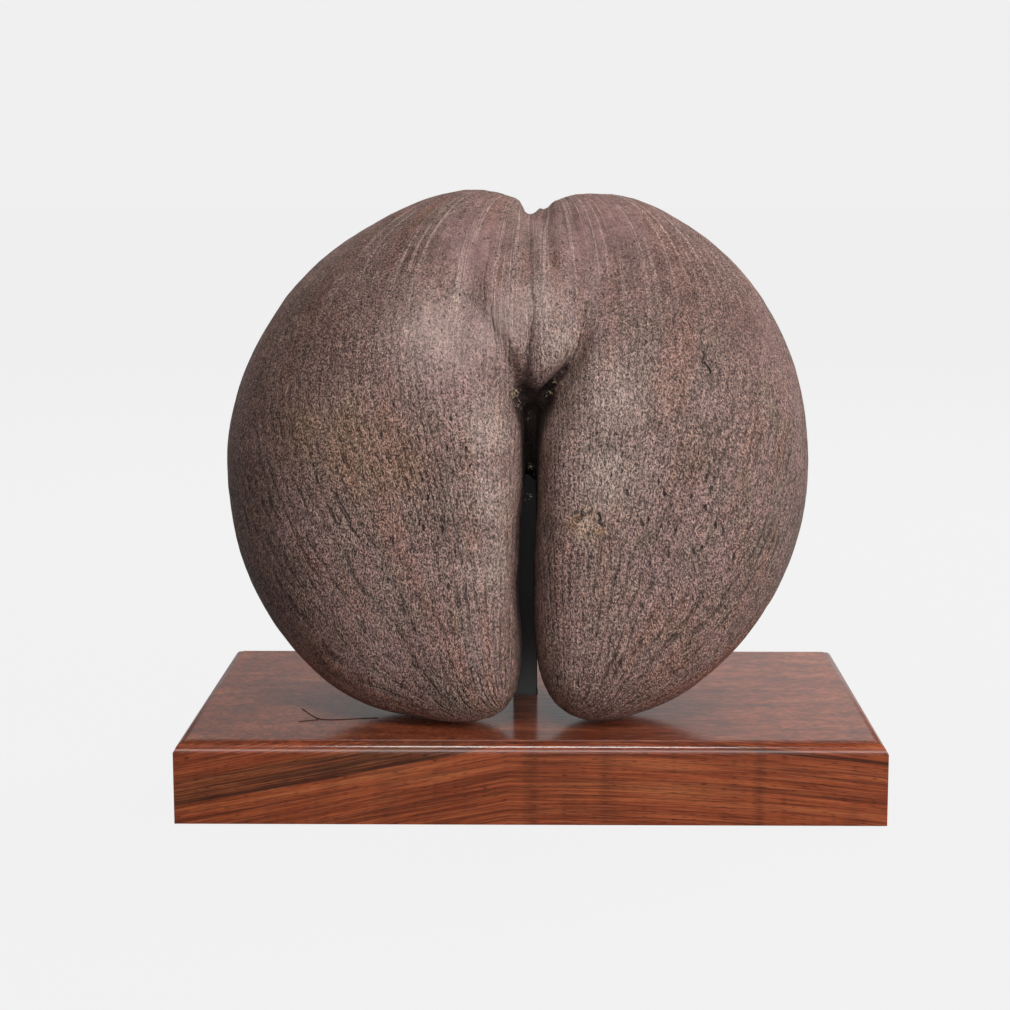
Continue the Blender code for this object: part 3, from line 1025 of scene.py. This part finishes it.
def floor_material():
    """Seamless studio paper lit from below: pale and even, with hardly a shadow.

    Its glow and the little light that falls on it make it as pale as the surroundings.
    """
    return new_material(
        "seamless paper",
        Base_Color=linear("#262626"),
        Roughness=1.0,
        Specular_IOR_Level=0.0,
        Emission_Color=linear("#FFFFFF"),
        Emission_Strength=0.862,
    )[0]


def light_world():
    """Even pale surroundings to the eye; they light the nut more from behind than in front."""
    world = bpy.data.worlds.new("pale studio")
    bpy.context.scene.world = world
    world.use_nodes = True
    tree = world.node_tree
    add = partial(add_node, tree)
    way = add("SeparateXYZ", None, {"Vector": add("TexCoord").outputs["Generated"]}).outputs
    glow = multiply(add, [(way[axis], *change) for axis, change in GLOW.items()])
    dim = add("Background", None, {"Strength": glow})
    pale = tree.nodes["Background"]
    pale.inputs["Color"].default_value = linear("#F0F0F0")
    seen = add("LightPath").outputs["Is Camera Ray"]
    mixed = add("MixShader", None, {"Fac": seen, "Shader": dim, "Shader_001": pale})
    tree.links.new(mixed.outputs[0], tree.nodes["World Output"].inputs["Surface"])


def add_softbox(name, place, target, size, watts, glossy):
    """An oblong area light turned to a point, which the camera doesn't see."""
    data = bpy.data.lights.new(name, "AREA")
    data.shape = "RECTANGLE"
    data.size, data.size_y = size
    data.energy = watts
    light = bpy.data.objects.new(name, data)
    bpy.context.scene.collection.objects.link(light)
    light.location = place
    way = Vector(target) - Vector(place)
    light.rotation_euler = way.to_track_quat("-Z", "Y").to_euler()
    light.visible_camera = False
    light.visible_glossy = glossy


def make_studio():
    """A pale floor and surroundings, the softboxes and the camera."""
    bpy.ops.object.select_all(action="DESELECT")
    bpy.ops.mesh.primitive_plane_add(size=FLOOR_SIDE, location=(0, 0, -FLOOR_DROP))
    floor = keep_place(bpy.context.object, "studio_floor")
    floor.data.materials.append(floor_material())
    floor.visible_diffuse = floor.visible_glossy = False
    light_world()
    for softbox in SOFTBOXES:
        add_softbox(*softbox)
    data = bpy.data.cameras.new("camera")
    data.sensor_width = CAMERA_SENSOR
    data.lens = CAMERA_LENS
    camera = bpy.data.objects.new("camera", data)
    bpy.context.scene.collection.objects.link(camera)
    camera.location = CAMERA_PLACE
    turn = Euler((radians(90 - CAMERA_DOWN), 0, radians(CAMERA_LEFT))).to_matrix()
    turn = turn @ Matrix.Rotation(radians(CAMERA_ROLL), 3, "Z")
    camera.rotation_euler = turn.to_euler()
    bpy.context.scene.camera = camera
    bpy.context.scene.view_settings.view_transform = "Standard"


def dress(name, material):
    """Gives a solid that stays in view its finish."""
    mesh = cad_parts[name].data
    if not mesh.materials:
        mesh.materials.append(material)
    for at in range(len(mesh.materials)):
        mesh.materials[at] = material


def show(piece, material, slot, *nodes):
    """Finishes a new piece, which rides on the body and may stand for solids."""
    piece.data.materials.clear()
    piece.data.materials.append(material)
    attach(piece, "root")
    if nodes:
        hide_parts(*nodes)


make_studio()
show(make_shell(), shell_material(), "nutshell", "nut")
show(make_plinth(), rosewood_material(), "plinth_wood", "plinth")
show(make_husk_fibres(), husk_material("dry husk fibre, straw", "#D8C4A2"), "nutshell")
show(make_stray_fibre(), husk_material("dry husk fibre, dark", "#241812"), "nutshell")
dress("post", paint_material())
zinc = zinc_material()
dress("post_screw", zinc)
dress("post_washer", zinc)
